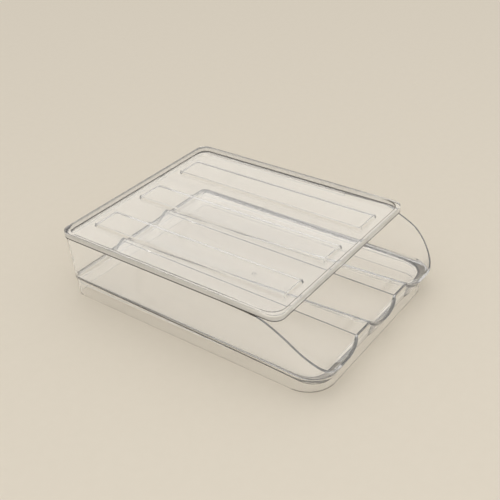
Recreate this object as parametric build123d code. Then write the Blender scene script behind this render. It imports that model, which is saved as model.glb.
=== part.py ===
from build123d import *
import math
import os

# A clear egg holder: a tray with three lanes and an open front, a base and a lift-off lid.
# All sizes are in millimetres. X runs across the lanes, the open end faces -Y and Z is up.
# The origin is on the floor, under the middle of the holder.
# A run is a distance from the back edge of the lid towards the open end.

# Overall sizes
HEIGHT = 72.0
REACH = 279.6
LID_LENGTH = 239.0
LID_WIDTH = 208.0

# Lid
LID_BAND = 6.0
LID_CORNER = 10.0
LID_RIM = 3.0
LID_RIM_DRAFT = 1.0
LID_RECESS = 4.4
LID_OVERHANG = 1.6
LID_WELL_CORNER = 13.0
LID_EDGE_ROUND = 0.7
LIP_DEPTH = 3.0
LIP_WALL = 1.4
LIP_CLEARANCE = 0.5
LIP_STOP = 101.6
RIB_WIDTH = 29.0
RIB_LENGTH = 209.5
RIB_MARGIN = 12.5
RIB_SETBACK = 15.6
RIB_RISE = 3.0
RIB_DRAFT = 1.2
RIB_CORNER = 3.0
RIB_EDGE_ROUND = 0.6

# Tray walls
WALL = 2.0
DRAFT_ANGLE = 3.2
BACK_OVERHANG = 0.4
BACK_CORNER = 8.4

# Front wall of the tray, leaning outwards, with a bulge at each lane
# The insets are measured at the seam, back from the open end.
FRONT_INSET_LANE = 4.8
FRONT_INSET_RIDGE = 7.1
FRONT_LEAN_LANE = 0.52
FRONT_LEAN_RIDGE = 0.157
FRONT_CORNER = 19.0
FRONT_CORNER_GROWTH = 0.68
FRONT_LANE_HEIGHT = 23.6
FLARE_LENGTH = 114.6
FLARE_LOW = 0.3
FLARE_GROWTH = 0.085

# Upper edge of the side walls near the open end: distance from it and height
SIDE_CURVE = [
    (64.6, 65.0), (54.6, 63.0), (45.6, 59.7), (36.6, 55.4), (29.0, 51.0), (23.1, 46.3),
    (16.6, 40.3), (11.3, 34.6), (6.1, 28.4), (1.1, 22.0),
]
SIDE_CURVE_LENGTH = 83.6

# Lanes
LANE_MARGIN = 5.9
LANE_FLOOR = 15.6
FLOOR_SKIN = 2.0
RIDGE_WIDTH_FRONT = 21.8
RIDGE_WIDTH_BACK = 4.0
RIDGE_HEIGHT_FRONT = 31.4
RIDGE_HEIGHT_BACK = 25.4
OUTER_FLAT_FRONT = 20.2
OUTER_FLAT_BACK = 3.2
SIDE_RISE_FRONT = 4.9
SIDE_RISE_BACK = 6.2
LANE_END_START = 23.6
LANE_END_LENGTH = 20.0
LANE_END_RISE = 6.8
LANE_END_STEP = 5.0
LANE_END_SECTIONS = 6
FRONT_POCKET = 16.0
BACK_LEDGE_SKIN = 2.0
BACK_LEDGE_DRAFT = 0.3

# Base under the tray, with a rim that slopes towards the open end
SEAM_BACK = 19.9
SEAM_FRONT = 14.4
BASE_WALL = 2.0
BASE_STEP = 0.6
BASE_CORNER = 26.0
BASE_CLEARANCE = 0.3

y_back = REACH / 2
lane_pitch = (LID_WIDTH - 2 * LANE_MARGIN) / 3
rib_pitch = (LID_WIDTH - 2 * RIB_MARGIN) / 3
z_seat = HEIGHT - LID_BAND
z_panel = HEIGHT - LID_RECESS
z_bulge = RIDGE_HEIGHT_FRONT + 3
z_belly = LANE_FLOOR - FLOOR_SKIN
seam_slope = (SEAM_BACK - SEAM_FRONT) / (REACH - FRONT_INSET_RIDGE)
curl_start = REACH - LANE_END_START


def at(run):
    """Y of a point at this run."""
    return y_back - run


def taper(z):
    """How far a drafted wall stands in from its place at the seat of the lid."""
    return (z_seat - z) * math.tan(math.radians(DRAFT_ANGLE))


def flat_arc(start, end):
    """Arc from start to end that runs along X where it ends."""
    run = end[0] - start[0]
    rise = end[1] - start[1]
    radius = (run ** 2 + rise ** 2) / (2 * abs(rise))
    half_turn = math.asin(abs(run) / radius) / 2
    x = end[0] - math.copysign(radius * math.sin(half_turn), run)
    y = end[1] - math.copysign(radius * (1 - math.cos(half_turn)), rise)
    return ThreePointArc(start, (x, y), end)


def sides(half, front, back, front_corner, back_corner):
    """Right side of a plan, from the front corner round to the back."""
    return [
        CenterArc((half - front_corner, front + front_corner), front_corner, -90, 90),
        Line((half, front + front_corner), (half, back - back_corner)),
        CenterArc((half - back_corner, back - back_corner), back_corner, 0, 90),
    ]


def flared_sides(half, front, back, front_corner, back_corner, flare):
    """Right side of a plan whose front end spreads outwards by a flare."""
    x = half + flare - front_corner
    y = front + front_corner
    start = at(REACH - FLARE_LENGTH)
    reach = start - y
    radius = (reach ** 2 + flare ** 2) / (2 * flare)
    turn = math.degrees(math.asin(reach / radius))
    return [
        CenterArc((x, y), front_corner, -90, 90 + turn),
        CenterArc((x + radius - flare, start), radius - front_corner, 180 + turn, -turn),
        Line((half, start), (half, back - back_corner)),
        CenterArc((half - back_corner, back - back_corner), back_corner, 0, 90),
    ]


def closed_plan(z, right, middle, half_back, back):
    """Face at a height from the right half of its outline and what crosses the middle."""
    left = [edge.mirror(Plane.YZ) for edge in right]
    rear = Line((half_back, back), (-half_back, back))
    return Pos(0, 0, z) * make_face([*middle, *right, rear, *left])


def round_plan(z, half, front, back, front_corner, back_corner):
    """Rounded rectangle at a height, with its own radius at each end."""
    right = sides(half, front, back, front_corner, back_corner)
    middle = [Line((front_corner - half, front), (half - front_corner, front))]
    return closed_plan(z, right, middle, half - back_corner, back)


def tray_plan(z, inset):
    """Plan of the tray at a height, drawn in by an inset, with a bulge for each lane."""
    half = LID_WIDTH / 2 - LID_OVERHANG - taper(z) - inset
    back = at(BACK_OVERHANG + inset)
    rise = min(z, z_bulge) - SEAM_FRONT
    flare = max(FLARE_LOW, FLARE_LOW + FLARE_GROWTH * (z - SEAM_FRONT))
    lane = at(REACH - FRONT_INSET_LANE + FRONT_LEAN_LANE * rise - inset)
    ridge = at(REACH - FRONT_INSET_RIDGE + FRONT_LEAN_RIDGE * rise - inset)
    front_corner = FRONT_CORNER + FRONT_CORNER_GROWTH * rise - inset
    ridge_in = (lane_pitch - RIDGE_WIDTH_FRONT) / 2
    ridge_out = ridge_in + RIDGE_WIDTH_FRONT
    right = [
        Line((ridge_in, ridge), (ridge_out, ridge)),
        flat_arc((ridge_out, ridge), (lane_pitch, lane)),
        Line((lane_pitch, lane), (half + flare - front_corner, lane)),
        *flared_sides(half, lane, back, front_corner, BACK_CORNER - inset, flare),
    ]
    middle = [ThreePointArc((-ridge_in, ridge), (0, lane), (ridge_in, ridge))]
    return closed_plan(z, right, middle, half - BACK_CORNER + inset, back)


def base_plan(z, inset):
    """Plan of the base at a height: the sides of the tray without its bulges."""
    half = LID_WIDTH / 2 - LID_OVERHANG - taper(z) - BASE_STEP - inset
    front = at(REACH - FRONT_INSET_RIDGE - BASE_STEP - inset)
    back = at(BACK_OVERHANG + BASE_STEP + inset)
    return round_plan(z, half, front, back, BASE_CORNER - inset, BACK_CORNER - inset)


def stack(*plans):
    """Solid through plans at rising heights, with straight walls between them."""
    return Part() + [loft([low, high], ruled=True) for low, high in zip(plans, plans[1:])]


def across(points, curve=None):
    """Solid right across the holder from a side view given as (run, height) points."""
    edges = [Line((at(a[0]), a[1]), (at(b[0]), b[1])) for a, b in zip(points, points[1:])]
    if curve:
        edges.append(curve)
    return extrude(Plane.YZ * make_face(edges), LID_WIDTH, both=True)


def under_seam():
    """Everything below the sloping seam between tray and base."""
    ends = [(run, SEAM_BACK - seam_slope * run) for run in (-20, REACH + 20)]
    return across([*ends, (REACH + 20, -20), (-20, -20), ends[0]])


def along(back, front, run):
    """Size at a run, between its values at the back and at the open end."""
    return back + (front - back) * run / REACH


def lane_floor(run):
    """Height of the middle of a lane, which curls up to the lip at the open end."""
    return LANE_FLOOR + LANE_END_RISE * (max(0, run - curl_start) / LANE_END_LENGTH) ** 2


def wave(run, skin):
    """Right half of the surface across the lanes, from the middle to the side wall."""
    half = (lane_pitch - along(RIDGE_WIDTH_BACK, RIDGE_WIDTH_FRONT, run)) / 2
    depth = along(RIDGE_HEIGHT_BACK, RIDGE_HEIGHT_FRONT, run) - lane_floor(run)
    radius = (half ** 2 + depth ** 2) / (2 * depth)
    floor = lane_floor(run) - skin
    crest = floor + depth
    reach = math.sqrt((radius + skin) ** 2 - (radius - depth + skin) ** 2)
    wall_x = LID_WIDTH / 2 - LID_OVERHANG - taper(LANE_FLOOR)
    flat_end = lane_pitch + along(OUTER_FLAT_BACK, OUTER_FLAT_FRONT, run)
    wall_run = wall_x - flat_end
    wall_rise = along(SIDE_RISE_BACK, SIDE_RISE_FRONT, run)
    wall_radius = (wall_run ** 2 + wall_rise ** 2) / (2 * wall_rise)
    wall_z = floor + skin + wall_radius - math.sqrt((wall_radius + skin) ** 2 - wall_run ** 2)
    return [
        flat_arc((reach, crest), (0, floor)),
        Line((reach, crest), (lane_pitch - reach, crest)),
        flat_arc((lane_pitch - reach, crest), (lane_pitch, floor)),
        Line((lane_pitch, floor), (flat_end, floor)),
        flat_arc((wall_x, wall_z), (flat_end, floor)),
        Line((wall_x, wall_z), (LID_WIDTH, wall_z)),
    ]


def wave_section(run, skin, level):
    """Section across the lanes at a run, closed by a flat line at a level."""
    right = wave(run, skin)
    left = [edge.mirror(Plane.YZ) for edge in right]
    last = right[-1].end_point()
    side = Line((last.X, last.Y), (last.X, level))
    end = Line((last.X, level), (-last.X, level))
    section = make_face([*right, *left, side, side.mirror(Plane.YZ), end])
    return Plane(origin=(0, at(run), 0), x_dir=(1, 0, 0), z_dir=(0, -1, 0)) * section


def lanes(skin, level):
    """Everything between the surface of the lanes and a level above or below it."""
    runs = [curl_start + LANE_END_STEP * step for step in range(LANE_END_SECTIONS)]
    sections = [wave_section(run, skin, level) for run in runs]
    straight = loft([wave_section(0, skin, level), sections[0]], ruled=True)
    return straight + loft(sections)


def side_cut():
    """Air above the S-curve that the side walls follow down to the open end."""
    start = REACH - SIDE_CURVE_LENGTH
    points = [(start, z_seat), *[(REACH - back, z) for back, z in SIDE_CURVE]]
    curve = Spline(*[(at(run), z) for run, z in points], tangents=[(-1, 0), (-0.6, -0.8)])
    ahead = REACH + 30
    top = HEIGHT + 10
    return across([points[-1], (ahead, points[-1][1]), (ahead, top), (start, top), points[0]], curve)


def front_cut():
    """Air above the wavy edge of the front wall, seen from the front."""
    ridge_in = (lane_pitch - RIDGE_WIDTH_FRONT) / 2
    ridge_out = ridge_in + RIDGE_WIDTH_FRONT
    low = FRONT_LANE_HEIGHT
    high = RIDGE_HEIGHT_FRONT
    end = LID_WIDTH
    top = HEIGHT + 10
    right = [
        Line((ridge_in, high), (ridge_out, high)),
        flat_arc((ridge_out, high), (lane_pitch, low)),
        Line((lane_pitch, low), (end, low)),
        Line((end, low), (end, top)),
    ]
    left = [edge.mirror(Plane.YZ) for edge in right]
    middle = ThreePointArc((-ridge_in, high), (0, low), (ridge_in, high))
    view = make_face([middle, *right, *left, Line((end, top), (-end, top))])
    return extrude(Plane.XZ * view, REACH, both=True)


def back_ledge():
    """Step inwards at the foot of the back wall, where the wall joins the floor inside the base."""
    front = BACK_OVERHANG + BASE_STEP + BASE_WALL + BASE_CLEARANCE + WALL
    top = SEAM_BACK + BACK_LEDGE_SKIN
    ends = [(front - BACK_LEDGE_DRAFT, top), (front, z_belly), (-20, z_belly), (-20, top)]
    return across([*ends, ends[0]])


def egg_space():
    """The space above the lanes and inside the walls."""
    low = z_belly - 10
    cavity = stack(tray_plan(low, WALL), tray_plan(z_bulge, WALL), tray_plan(z_seat + 1, WALL))
    return (cavity - back_ledge()) & lanes(0, HEIGHT + 20)


def space_below():
    """The hollow under the lanes, one skin below them, with a pocket behind the front lip."""
    gap = BASE_WALL + BASE_CLEARANCE + WALL
    inside_base = stack(base_plan(z_belly - 20, gap), base_plan(z_bulge, gap))
    inside_walls = stack(tray_plan(z_belly, WALL), tray_plan(z_bulge, WALL))
    half_width = lane_pitch + OUTER_FLAT_BACK
    front = Pos(0, at(REACH), z_bulge) * Box(2 * half_width, 2 * FRONT_POCKET, 2 * z_bulge)
    pocket = (inside_walls & front) - Pos(0, 0, FLOOR_SKIN) * under_seam()
    return (inside_base + pocket) & lanes(FLOOR_SKIN, -20)


def egg_tray():
    """Walls, front lip and three lanes in one thin moulding."""
    low = z_belly - 10
    walls = stack(tray_plan(low, 0), tray_plan(z_bulge, 0), tray_plan(z_seat, 0)) - under_seam()
    gap = BASE_WALL + BASE_CLEARANCE
    belly = stack(base_plan(low, gap), base_plan(SEAM_BACK + 1, gap))
    body = walls + belly
    body -= egg_space()
    body -= space_below()
    body -= side_cut() & front_cut()
    body -= Pos(0, 0, z_belly - 50) * Box(2 * REACH, 2 * REACH, 100)
    return body


def base():
    """Ring that carries the tray and stands on the floor."""
    outer = stack(base_plan(0, 0), base_plan(SEAM_BACK + 1, 0))
    inner = stack(base_plan(-1, BASE_WALL), base_plan(SEAM_BACK + 2, BASE_WALL))
    return (outer - inner) & under_seam()


def pad(z, inset, run, width, length, radius):
    """Rounded rectangle at a height, drawn in by an inset, from the run of its back edge."""
    plan = RectangleRounded(width - 2 * inset, length - 2 * inset, radius - inset)
    return Pos(0, at(run + length / 2), z) * plan


def rib(x, inset, low):
    """One long raised rib with drafted sides, or the hollow inside it."""
    high = z_panel + RIB_RISE - inset
    spread = RIB_DRAFT * (high - low) / RIB_RISE
    sizes = (RIB_SETBACK, RIB_WIDTH, RIB_LENGTH, RIB_CORNER)
    solid = loft([pad(low, inset - spread, *sizes), pad(high, inset, *sizes)], ruled=True)
    return Pos(x, 0, 0) * fillet(solid.edges().group_by(Axis.Z)[-1], RIB_EDGE_ROUND)


def locating_lip():
    """Low wall under the lid that stands inside the back and side walls of the tray."""
    low = z_seat - LIP_DEPTH
    gap = WALL + LIP_CLEARANCE
    end = REACH - LIP_STOP
    sizes = (BACK_OVERHANG, LID_WIDTH - 2 * LID_OVERHANG, 2 * end, BACK_CORNER)
    outer = extrude(pad(low, gap, *sizes), LIP_DEPTH)
    inner = extrude(pad(low - 1, gap + LIP_WALL, *sizes), LIP_DEPTH + 2)
    ahead = Pos(0, at(end + REACH), z_seat) * Box(2 * LID_WIDTH, 2 * REACH, HEIGHT)
    return outer - inner - ahead


def lid():
    """Flat panel with a raised rim, three raised ribs and a locating lip underneath."""
    skin = LID_BAND - LID_RECESS
    body = extrude(pad(z_seat, 0, 0, LID_WIDTH, LID_LENGTH, LID_CORNER), LID_BAND)
    body = fillet(body.edges().group_by(Axis.Z)[-1], LID_EDGE_ROUND)
    sizes = (0, LID_WIDTH, LID_LENGTH, LID_WELL_CORNER + LID_RIM)
    well = [pad(z_panel, LID_RIM + LID_RIM_DRAFT, *sizes), pad(HEIGHT, LID_RIM, *sizes)]
    body -= loft(well, ruled=True)
    for x in (-rib_pitch, 0, rib_pitch):
        body += rib(x, 0, z_panel)
        body -= rib(x, skin, z_seat - 1)
    return body + locating_lip()


def main():
    os.makedirs("parts", exist_ok=True)
    for name, part in (("egg_tray", egg_tray()), ("base", base()), ("lid", lid())):
        print(name, part.is_valid, len(part.solids()), round(part.volume), part.bounding_box())
        export_step(part, f"parts/{name}.step")


main()
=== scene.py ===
import math

import bpy
from mathutils import Matrix, Vector

# Clear egg holder on a plain pale floor, seen from above and to the left of its open end.
# The open end faces -Y, the three lanes run along Y and Z is up. Lengths are in metres.

# Camera
CAMERA_PLACE = (-0.5096, -0.3847, 0.4552)
CAMERA_RIGHT = (0.58563, -0.80967, -0.03847)
CAMERA_UP = (0.45887, 0.29202, 0.83914)
CAMERA_BACK = (-0.66819, -0.50908, 0.54255)
LENS = 59.42
SENSOR = 36
CLIP_START = 0.01

# Floor of the tray, and the sloping seam between the tray and the base
FLOOR_SIDE = 0.0970
FLOOR_BACK = 0.1366
FLOOR_FRONT = -0.1300
FRONT_CORNER = 0.024
BACK_CORNER = 0.0065
SEAM_BACK = 0.01984
SEAM_FRONT = 0.01446
LANE_FLOOR = 0.0156

# Lid and its raised rim
LID_SIDE = 0.104
LID_BACK = 0.1398
LID_FRONT = -0.0992
LID_CORNER = 0.010
LID_LOW = 0.066
LID_TOP = 0.072
RIM_WIDTH = 0.003
RIM_INNER_CORNER = 0.013
RIM_SIDE_SLACK = 0.000225

# Painted shade lines: how far each one is solid, and where it ends
SHADE_LINE_COLOUR = (0.06, 0.055, 0.05)
SEAM_SHADE_SOLID = 0.00056
SEAM_SHADE_END = 0.0008
SEAT_SHADE_END = 0.00144
INNER_SHADE_SOLID = 0.00045
INNER_SHADE_END = 0.00072
INNER_SHADE_DEPTH = 0.0009
LOWER_SHADE_SOLID = 0.0009
LOWER_SHADE_END = 0.00117
LOWER_SHADE_DEPTH = 0.00045

# Mark of the moulding gate
GATE_RADIUS = 0.0024
GATE_LINE = 0.00072
GATE_HEIGHT = 0.0004
GATE_STRENGTH = 0.8

# Plastic
TINT = (0.992, 0.988, 0.98)
CLARITY = 0.92
# Paler, milkier plastic on the side of the lid's rim: painted light on that side
RIM_LIGHT_COLOUR = (0.97, 0.94, 0.88)
RIM_CLARITY = 0.5
SHADOW_TINT = (0.965, 0.96, 0.95)
IOR = 1.49
POLISHED = 0.0
BASE_HAZE = 0.01
RIM_HAZE = 0.12
HAZE_SPREAD = 0.03
HAZE_SCALE = 160.0
HAZE_DETAIL = 4.0
HAZE_RANGE = (0.35, 0.75)
TRAY_WAVES = 0.00008
LID_WAVES = 0.00006
WAVE_STRENGTH = 0.35
WAVE_SCALE = 22.0
WAVE_DETAIL = 2.0
WAVE_DISTORTION = 0.6

# Paper floor
FLOOR_SIZE = 8
FLOOR_DARK = (0.72, 0.66, 0.56)
FLOOR_LIGHT = (0.74, 0.68, 0.58)
FLOOR_ROUGHNESS = 0.85
FLOOR_SHINE = 0.1
GRAIN_SCALE = 900.0

# Light
ROOM_COLOUR = (1.0, 0.985, 0.96)
ROOM_RISE = (0.0, 0.8)
ROOM_STRENGTH = (0.55, 0.92)
KEY_PLACE = (-1.1, -0.7, 1.6)
KEY_SIZE = (1.8, 1.8)
KEY_WATTS = 6
KEY_COLOUR = (1, 0.985, 0.96)
FILL_PLACE = (-0.2, -1.6, 1.1)
FILL_SIZE = (1.6, 1.0)
FILL_WATTS = 3
FILL_COLOUR = (1, 1, 1)

# Sockets of a mix node that works on colours
MIX_FACTOR = 0
MIX_FIRST = 6
MIX_SECOND = 7
MIX_RESULT = 2


def links(tree, *pairs):
    for start, end in pairs:
        tree.links.new(start, end)


def maths(tree, operation, first, second=0.0):
    """Maths node whose inputs are sockets or numbers, and its result."""
    node = tree.nodes.new("ShaderNodeMath")
    node.operation = operation
    for socket, value in zip(node.inputs, (first, second)):
        if isinstance(value, (int, float)):
            socket.default_value = value
        else:
            tree.links.new(value, socket)
    return node.outputs[0]


def remap(tree, value, before, after, interpolation="LINEAR"):
    """A value taken from one range to another, and held inside it."""
    node = tree.nodes.new("ShaderNodeMapRange")
    node.interpolation_type = interpolation
    labels = ("From Min", "From Max", "To Min", "To Max")
    for label, number in zip(labels, (*before, *after)):
        node.inputs[label].default_value = number
    tree.links.new(value, node.inputs["Value"])
    return node.outputs[0]


def fade(tree, value, near, far):
    """1 where a value is below near, falling to 0 at far."""
    return remap(tree, value, (near, far), (1.0, 0.0), "SMOOTHSTEP")


def blend(tree, mask, first, second):
    """Colour that goes from the first to the second with a mask."""
    node = tree.nodes.new("ShaderNodeMix")
    node.data_type = "RGBA"
    node.inputs[MIX_FIRST].default_value = (*first, 1)
    node.inputs[MIX_SECOND].default_value = (*second, 1)
    tree.links.new(mask, node.inputs[MIX_FACTOR])
    return node.outputs[MIX_RESULT]


def noise(tree, place, scale, detail, distortion=0.0):
    """Soft random pattern over a place."""
    node = tree.nodes.new("ShaderNodeTexNoise")
    node.inputs["Scale"].default_value = scale
    node.inputs["Detail"].default_value = detail
    node.inputs["Distortion"].default_value = distortion
    tree.links.new(place, node.inputs["Vector"])
    return node.outputs[0]


def bump(tree, height, strength, distance, normal=None):
    """Normal of a surface, or of one that is bumped already, with a height added."""
    node = tree.nodes.new("ShaderNodeBump")
    node.inputs["Strength"].default_value = strength
    node.inputs["Distance"].default_value = distance
    tree.links.new(height, node.inputs["Height"])
    if normal is not None:
        tree.links.new(normal, node.inputs["Normal"])
    return node.outputs["Normal"]


def beyond(tree, split, half, front, back, corner):
    """How far a place lies outside a rounded rectangle seen from above."""
    from_middle = maths(tree, "SUBTRACT", split.outputs["Y"], (front + back) / 2)
    squares = []
    for value, reach in ((split.outputs["X"], half), (from_middle, (back - front) / 2)):
        past = maths(tree, "SUBTRACT", maths(tree, "ABSOLUTE", value), reach)
        past = maths(tree, "MAXIMUM", maths(tree, "ADD", past, corner), 0.0)
        squares.append(maths(tree, "MULTIPLY", past, past))
    away = maths(tree, "SQRT", maths(tree, "ADD", *squares))
    return maths(tree, "SUBTRACT", away, corner)


def outside_floor(tree, split):
    """1 in the walls that stand on the seam and 0 over the floor that they surround."""
    in_front = maths(tree, "LESS_THAN", split.outputs["Y"], 0.0)
    growth = maths(tree, "MULTIPLY", in_front, FRONT_CORNER - BACK_CORNER)
    corner = maths(tree, "ADD", growth, BACK_CORNER)
    away = beyond(tree, split, FLOOR_SIDE, FLOOR_FRONT, FLOOR_BACK, corner)
    return maths(tree, "GREATER_THAN", away, 0.0)


def seam_shade_line(tree, split):
    """Mask of the painted shade line along the sloping seam where the tray is bonded to the base.
    """
    slope = (SEAM_BACK - SEAM_FRONT) / (FLOOR_BACK - FLOOR_FRONT)
    rise = maths(tree, "MULTIPLY", split.outputs["Y"], slope)
    seam = maths(tree, "ADD", rise, SEAM_BACK - slope * FLOOR_BACK)
    height = maths(tree, "ABSOLUTE", maths(tree, "SUBTRACT", split.outputs["Z"], seam))
    line = fade(tree, height, SEAM_SHADE_SOLID, SEAM_SHADE_END)
    return maths(tree, "MULTIPLY", line, outside_floor(tree, split))


def seat_shade_line(tree, split):
    """Mask of the painted shade line at the upper edge of the tray walls, where the lid sits."""
    return maths(tree, "GREATER_THAN", split.outputs["Z"], LID_LOW - SEAT_SHADE_END)


def tray_shade_lines(tree, split):
    """Mask of both painted shade lines of the tray."""
    return maths(tree, "MAXIMUM", seam_shade_line(tree, split), seat_shade_line(tree, split))


def inner_rim_shade_line(tree, split):
    """Mask of the painted shade line along the upper inner edge of the rim, at the open end only.
    """
    back = LID_BACK - RIM_WIDTH
    front = LID_FRONT + RIM_WIDTH
    away = beyond(tree, split, LID_SIDE - RIM_WIDTH, front, back, RIM_INNER_CORNER)
    line = fade(tree, maths(tree, "ABSOLUTE", away), INNER_SHADE_SOLID, INNER_SHADE_END)
    on_top = maths(tree, "GREATER_THAN", split.outputs["Z"], LID_TOP - INNER_SHADE_DEPTH)
    fade_start = LID_FRONT + RIM_INNER_CORNER
    at_front = fade(tree, split.outputs["Y"], fade_start, fade_start + RIM_INNER_CORNER)
    return maths(tree, "MULTIPLY", maths(tree, "MULTIPLY", line, on_top), at_front)


def lower_rim_shade_line(tree, split):
    """Mask of the painted shade line along the lower outer edge of the rim."""
    away = beyond(tree, split, LID_SIDE, LID_FRONT, LID_BACK, LID_CORNER)
    on_side = maths(tree, "GREATER_THAN", away, -LOWER_SHADE_DEPTH)
    line = fade(tree, split.outputs["Z"], LID_LOW + LOWER_SHADE_SOLID, LID_LOW + LOWER_SHADE_END)
    return maths(tree, "MULTIPLY", on_side, line)


def rim_shade_lines(tree, split):
    """Mask of both painted shade lines of the rim."""
    return maths(tree, "MAXIMUM", inner_rim_shade_line(tree, split), lower_rim_shade_line(tree, split))


def gate_mark(tree, place):
    """Height of the small round mark that the moulding gate leaves on the tray floor."""
    away = tree.nodes.new("ShaderNodeVectorMath")
    away.operation = "DISTANCE"
    away.inputs[1].default_value = (0.0, 0.0, LANE_FLOOR)
    tree.links.new(place, away.inputs[0])
    from_ring = maths(tree, "SUBTRACT", away.outputs["Value"], GATE_RADIUS)
    ring = fade(tree, maths(tree, "ABSOLUTE", from_ring), 0.0, GATE_LINE)
    dot = fade(tree, away.outputs["Value"], 0.0, GATE_LINE)
    return maths(tree, "ADD", ring, dot)


def clear_plastic(name, tint, clarity, roughness, wave_height, shade_lines, gated=False):
    """Clear moulded plastic with faint flow waves, a fine haze, a soft tint and dark painted shade
    lines.

    Shadow rays pass straight through it with a slight loss, so its shadow stays light.
    """
    material = bpy.data.materials.new(name)
    material.use_nodes = True
    tree = material.node_tree
    tree.nodes.clear()
    new = tree.nodes.new
    place = new("ShaderNodeTexCoord").outputs["Object"]
    split = new("ShaderNodeSeparateXYZ")
    waves = noise(tree, place, WAVE_SCALE, WAVE_DETAIL, WAVE_DISTORTION)
    normal = bump(tree, waves, WAVE_STRENGTH, wave_height)
    if gated:
        normal = bump(tree, gate_mark(tree, place), GATE_STRENGTH, GATE_HEIGHT, normal)
    cloud = noise(tree, place, HAZE_SCALE, HAZE_DETAIL)
    haze = remap(tree, cloud, HAZE_RANGE, (roughness, roughness + HAZE_SPREAD))
    surface = new("ShaderNodeBsdfPrincipled")
    surface.inputs["Transmission Weight"].default_value = clarity
    surface.inputs["IOR"].default_value = IOR
    through = new("ShaderNodeBsdfTransparent")
    through.inputs["Color"].default_value = (*SHADOW_TINT, 1)
    path = new("ShaderNodeLightPath")
    mix = new("ShaderNodeMixShader")
    out = new("ShaderNodeOutputMaterial")
    links(
        tree,
        (place, split.inputs[0]),
        # the base colour carries the dark painted shade lines
        (blend(tree, shade_lines(tree, split), tint, SHADE_LINE_COLOUR), surface.inputs["Base Color"]),
        (normal, surface.inputs["Normal"]),
        (haze, surface.inputs["Roughness"]),
        (path.outputs["Is Shadow Ray"], mix.inputs[0]),
        (surface.outputs[0], mix.inputs[1]),
        (through.outputs[0], mix.inputs[2]),
        (mix.outputs[0], out.inputs["Surface"]),
    )
    return material


def lighten_rim_side(lid, slot):
    """Gives the faces on the side of the lid's rim the material in a slot, the paler plastic that
    paints light there.
    """
    middle = (LID_FRONT + LID_BACK) / 2
    half_length = (LID_BACK - LID_FRONT) / 2
    for face in lid.data.polygons:
        x, y, z = face.center
        past_x = max(abs(x) - LID_SIDE + LID_CORNER, 0)
        past_y = max(abs(y - middle) - half_length + LID_CORNER, 0)
        on_side = math.hypot(past_x, past_y) > LID_CORNER - RIM_SIDE_SLACK
        if on_side and z > LID_LOW:
            face.material_index = slot


def pale_floor():
    """Large flat floor of pale warm paper with a faint grain."""
    material = bpy.data.materials.new("floor_paper")
    material.use_nodes = True
    tree = material.node_tree
    surface = tree.nodes["Principled BSDF"]
    surface.inputs["Roughness"].default_value = FLOOR_ROUGHNESS
    surface.inputs["Specular IOR Level"].default_value = FLOOR_SHINE
    grain = tree.nodes.new("ShaderNodeTexNoise")
    grain.inputs["Scale"].default_value = GRAIN_SCALE
    colour = blend(tree, grain.outputs[0], FLOOR_DARK, FLOOR_LIGHT)
    tree.links.new(colour, surface.inputs["Base Color"])
    bpy.ops.mesh.primitive_plane_add(size=FLOOR_SIZE, location=(0, 0, 0))
    floor = bpy.context.object
    floor.name = "floor"
    floor.data.materials.append(material)
    return floor


def lamp(name, place, size, watts, colour):
    """Soft rectangular lamp that points at the holder."""
    data = bpy.data.lights.new(name, "AREA")
    data.shape = "RECTANGLE"
    data.size, data.size_y = size
    data.energy = watts
    data.color = colour
    obj = bpy.data.objects.new(name, data)
    bpy.context.scene.collection.objects.link(obj)
    obj.location = place
    obj.rotation_euler = Vector(place).to_track_quat("Z", "Y").to_euler()
    return obj


def pale_room():
    """Even pale light from all round, a little lower near the horizon."""
    world = bpy.data.worlds.new("room")
    world.use_nodes = True
    tree = world.node_tree
    background = tree.nodes["Background"]
    background.inputs["Color"].default_value = (*ROOM_COLOUR, 1)
    split = tree.nodes.new("ShaderNodeSeparateXYZ")
    direction = tree.nodes.new("ShaderNodeTexCoord").outputs["Generated"]
    links(
        tree,
        (direction, split.inputs[0]),
        (remap(tree, split.outputs["Z"], ROOM_RISE, ROOM_STRENGTH), background.inputs["Strength"]),
    )
    return world


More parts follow.
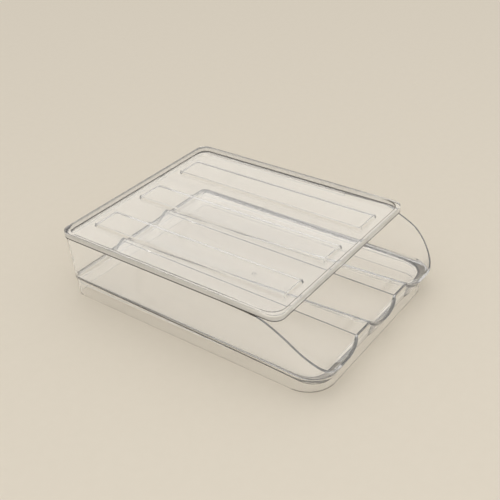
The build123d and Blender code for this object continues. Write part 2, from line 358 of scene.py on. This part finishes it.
def studio():
    """Two large soft lamps in front of the holder and to its left, in a pale room."""
    bpy.context.scene.world = pale_room()
    key = lamp("key_lamp", KEY_PLACE, KEY_SIZE, KEY_WATTS, KEY_COLOUR)
    fill = lamp("fill_lamp", FILL_PLACE, FILL_SIZE, FILL_WATTS, FILL_COLOUR)
    return [key, fill]


def camera():
    """Camera at the photograph's viewing angle."""
    data = bpy.data.cameras.new("camera")
    data.lens = LENS
    data.sensor_width = SENSOR
    data.clip_start = CLIP_START
    obj = bpy.data.objects.new("camera", data)
    bpy.context.scene.collection.objects.link(obj)
    axes = zip(CAMERA_RIGHT, CAMERA_UP, CAMERA_BACK, CAMERA_PLACE)
    obj.matrix_world = Matrix([*axes, (0, 0, 0, 1)])
    bpy.context.scene.camera = obj


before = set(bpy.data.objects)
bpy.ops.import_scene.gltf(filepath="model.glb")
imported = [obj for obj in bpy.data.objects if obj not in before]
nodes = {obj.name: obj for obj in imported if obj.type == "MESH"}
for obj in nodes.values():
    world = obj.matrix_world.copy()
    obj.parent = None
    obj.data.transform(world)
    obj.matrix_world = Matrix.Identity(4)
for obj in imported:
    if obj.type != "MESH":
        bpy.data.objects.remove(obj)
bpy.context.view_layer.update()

plastics = {
    "egg_tray": [
        clear_plastic("tray_plastic", TINT, CLARITY, POLISHED, TRAY_WAVES, tray_shade_lines, gated=True),
    ],
    "base": [
        clear_plastic("base_plastic", TINT, CLARITY, BASE_HAZE, TRAY_WAVES, seam_shade_line),
    ],
    "lid": [
        clear_plastic("lid_plastic", TINT, CLARITY, POLISHED, LID_WAVES, rim_shade_lines),
        # the rim's side gets a paler, milkier copy of the plastic as painted light
        clear_plastic("lid_rim_lit_plastic", RIM_LIGHT_COLOUR, RIM_CLARITY, RIM_HAZE, LID_WAVES, rim_shade_lines),
    ],
}
for name, materials in plastics.items():
    nodes[name].data.materials.clear()
    for material in materials:
        nodes[name].data.materials.append(material)
lighten_rim_side(nodes["lid"], 1)

pale_floor()
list(studio())
camera()
bpy.context.scene.view_settings.view_transform = "Standard"
